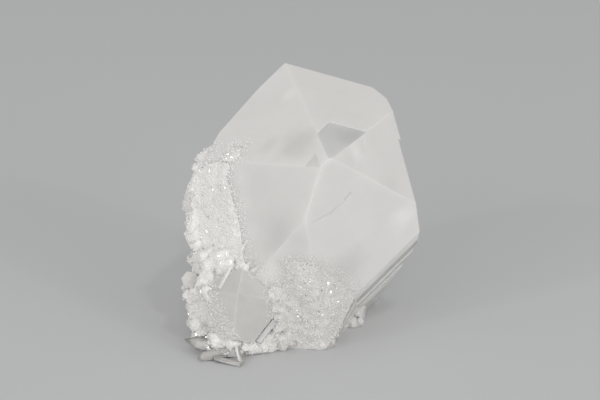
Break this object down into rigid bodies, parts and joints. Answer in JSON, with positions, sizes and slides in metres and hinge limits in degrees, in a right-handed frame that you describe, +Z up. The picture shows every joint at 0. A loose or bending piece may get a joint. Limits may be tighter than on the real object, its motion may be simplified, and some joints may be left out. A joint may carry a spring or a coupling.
{
  "type": "quartz crystal",
  "caption": "Milky quartz specimen: a large leaning six-sided point with a smaller point and a sugary druse crust, cut level underneath to rest on a shelf.",
  "frame": {"origin": "centre of the outer box in plan, at the level cut that the specimen rests on", "axes": "+Z up from the level cut; the large point leans up and towards -Y"},
  "size_m": [0.0498, 0.053, 0.0543],
  "materials": {
    "milky_quartz": "satin to glassy"
  },
  "bodies": {
    "root": {"quartz_crystal": "milky_quartz"}
  },
  "joints": []
}
